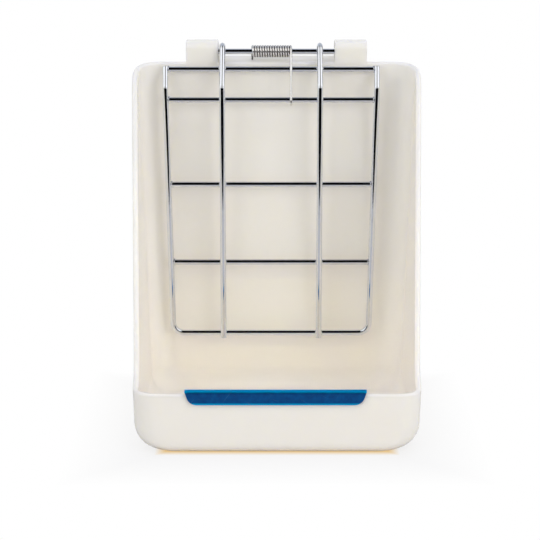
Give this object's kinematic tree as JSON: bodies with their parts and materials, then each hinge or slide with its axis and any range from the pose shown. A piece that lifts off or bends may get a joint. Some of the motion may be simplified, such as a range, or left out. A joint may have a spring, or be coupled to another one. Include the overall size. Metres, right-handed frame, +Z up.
{
  "type": "hay feeder",
  "caption": "Moulded plastic bowl with a tall back wall and a spring-loaded wire grid, hinged at the top, that holds hay for a small caged pet.",
  "frame": {"origin": "middle of the body's depth and width, on the base plane that it stands on", "axes": "+Z up, -Y to the open front of the bowl, +Y to the back wall and the hooks, +X to the right seen from the front"},
  "size_m": [0.1406, 0.1163, 0.1778],
  "materials": {
    "cream_plastic": "smooth injection-moulded gloss, warm white",
    "blue_sheet": "blue anodised sheet, finely scratched",
    "chromed_wire": "bright chrome plate on drawn steel wire",
    "spring_steel": "drawn spring wire with a faint straw tint"
  },
  "bodies": {
    "housing": {"feeder_body": "cream_plastic", "chew_guard": "blue_sheet", "torsion_spring": "spring_steel"},
    "hinge_rod": {"hinge_rod": "chromed_wire"},
    "grid": {"grid_frame_wire": "chromed_wire", "grid_upright_left": "chromed_wire", "grid_upright_right": "chromed_wire", "grid_cross_wire_1": "chromed_wire", "grid_cross_wire_2": "chromed_wire", "grid_cross_wire_3": "chromed_wire", "grid_cross_wire_4": "chromed_wire"}
  },
  "joints": [
    {"name": "grid_swing", "type": "hinge", "parent": "housing", "child": "hinge_rod", "pos_m": [0, 0.05255, 0.1725], "axis": [-1, 0, 0], "range_deg": [0, 90], "stiffness_Nm_per_rad": 0.028, "springref_deg": -60.16, "deforming": ["torsion_spring"]},
    {"name": "grid_side_slide", "type": "slide", "parent": "hinge_rod", "child": "grid", "axis": [1, 0, 0], "range_m": [-0.0003, 0.0056]}
  ]
}
